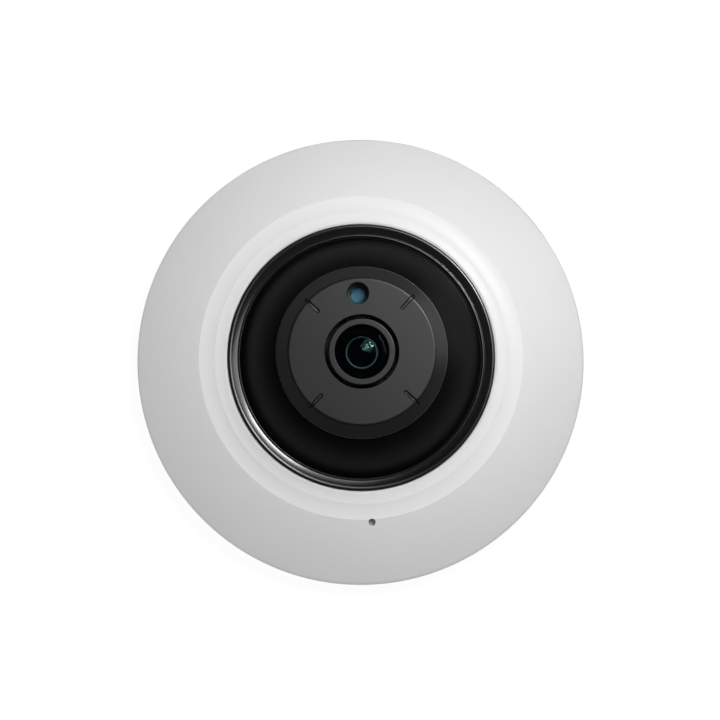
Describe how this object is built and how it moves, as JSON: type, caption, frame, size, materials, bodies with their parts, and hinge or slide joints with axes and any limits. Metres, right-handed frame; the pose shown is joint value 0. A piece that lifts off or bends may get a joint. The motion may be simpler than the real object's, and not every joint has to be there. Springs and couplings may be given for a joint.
{
  "type": "fisheye ip camera",
  "caption": "Round surface-mounted fisheye camera with a white cover, black window, lens turret and twist-lock mounting plate.",
  "frame": {"origin": "middle of the mounting plate's mounting face, which is also the middle of the bottom of the bounding box", "axes": "+Z out of the lens, along the lens axis; +Y from the lens towards the light sensor; the microphone hole is on -Y"},
  "size_m": [0.12, 0.12, 0.0412],
  "materials": {
    "cover_white": "satin white, fine spark texture",
    "housing_white": "moulded, warm white",
    "plate_steel": "zinc-plated sheet",
    "stud_steel": "turned and plated",
    "screw_steel": "plated",
    "bezel_black": "polished black",
    "window_black": "smooth, infrared-pass black",
    "turret_grey": "fine matte texture",
    "seal_rubber": "moulded",
    "chassis_alloy": "stamped",
    "board_green": "solder resist on glass fibre",
    "chip_black": "moulded package",
    "pad_blue": "soft silicone",
    "connector_black": "moulded",
    "contact_gold": "gold-plated",
    "shield_steel": "folded sheet",
    "spacer_brass": "turned",
    "flex_amber": "polyimide film",
    "moulded_black": "moulded",
    "yoke_steel": "stamped",
    "coil_copper": "enamelled wire",
    "barrel_black": "black anodised",
    "lens_ring_grey": "matte",
    "spacer_ring": "blackened, worn bright at the lip",
    "coated_glass": "polished, green multi-coating",
    "filter_glass": "polished",
    "led_resin": "clear resin over the die",
    "photocell_blue": "filtered face"
  },
  "bodies": {
    "bracket": {"mounting_plate": "plate_steel", "lock_studs": "stud_steel"},
    "camera": {"back_housing": "housing_white", "front_cover": "cover_white", "cover_gasket": "seal_rubber", "cover_screws": "screw_steel", "bezel_ring": "bezel_black", "window": "window_black", "window_gasket": "seal_rubber", "light_seal": "seal_rubber", "lens_turret": "turret_grey", "turret_screws": "screw_steel", "chassis": "chassis_alloy", "chassis_screws": "screw_steel", "main_board": "board_green", "board_screws": "screw_steel", "processor": "chip_black", "thermal_pad": "pad_blue", "memory_chips": "chip_black", "network_transformer": "chip_black", "network_jack": "connector_black", "jack_contacts": "contact_gold", "power_jack": "connector_black", "card_socket": "shield_steel", "reset_switch": "shield_steel", "microphone": "shield_steel", "microphone_boot": "seal_rubber", "sensor_board": "board_green", "sensor_spacers": "spacer_brass", "sensor_screws": "screw_steel", "image_sensor": "chip_black", "sensor_glass": "filter_glass", "flex_cable": "flex_amber", "filter_base": "moulded_black", "filter_lid": "moulded_black", "filter_yoke": "yoke_steel", "filter_coil": "coil_copper", "lens_holder": "moulded_black", "holder_screws": "screw_steel", "lens_lock_nut": "barrel_black", "lens_barrel": "barrel_black", "lens_ring": "lens_ring_grey", "front_element": "coated_glass", "front_spacer": "spacer_ring", "second_element": "coated_glass", "aperture_stop": "barrel_black", "third_element": "coated_glass", "rear_element": "coated_glass", "ir_board": "board_green", "ir_board_screws": "screw_steel", "ir_leds": "led_resin", "light_sensor": "photocell_blue", "light_sensor_sleeve": "seal_rubber"},
    "filter": {"filter_frame": "moulded_black", "ir_cut_filter": "filter_glass", "clear_filter": "filter_glass"},
    "rotor": {"filter_rotor": "yoke_steel"},
    "button": {"reset_button": "moulded_black"},
    "card": {"memory_card": "moulded_black"}
  },
  "joints": [
    {"name": "twist_lock", "type": "hinge", "parent": "bracket", "child": "camera", "pos_m": [0, 0, 0], "axis": [0, 0, 1], "range_deg": [0, 15]},
    {"name": "rotor_turn", "type": "hinge", "parent": "camera", "child": "rotor", "pos_m": [0, 0.0098, 0.018], "axis": [0, 0, 1], "range_deg": [0, 60]},
    {"name": "filter_slide", "type": "slide", "parent": "camera", "child": "filter", "axis": [1, 0, 0], "range_m": [0, 0.0055]},
    {"name": "reset_press", "type": "slide", "parent": "camera", "child": "button", "axis": [0, 0, 1], "range_m": [0, 0.0003], "stiffness_N_per_m": 1500},
    {"name": "card_slide", "type": "slide", "parent": "camera", "child": "card", "axis": [-1, 0, 0], "range_m": [-0.0004, 0.012]}
  ],
  "couplings": [
    {"joint": "rotor_turn", "follows": "filter_slide", "rad_per_m": 190.39}
  ]
}
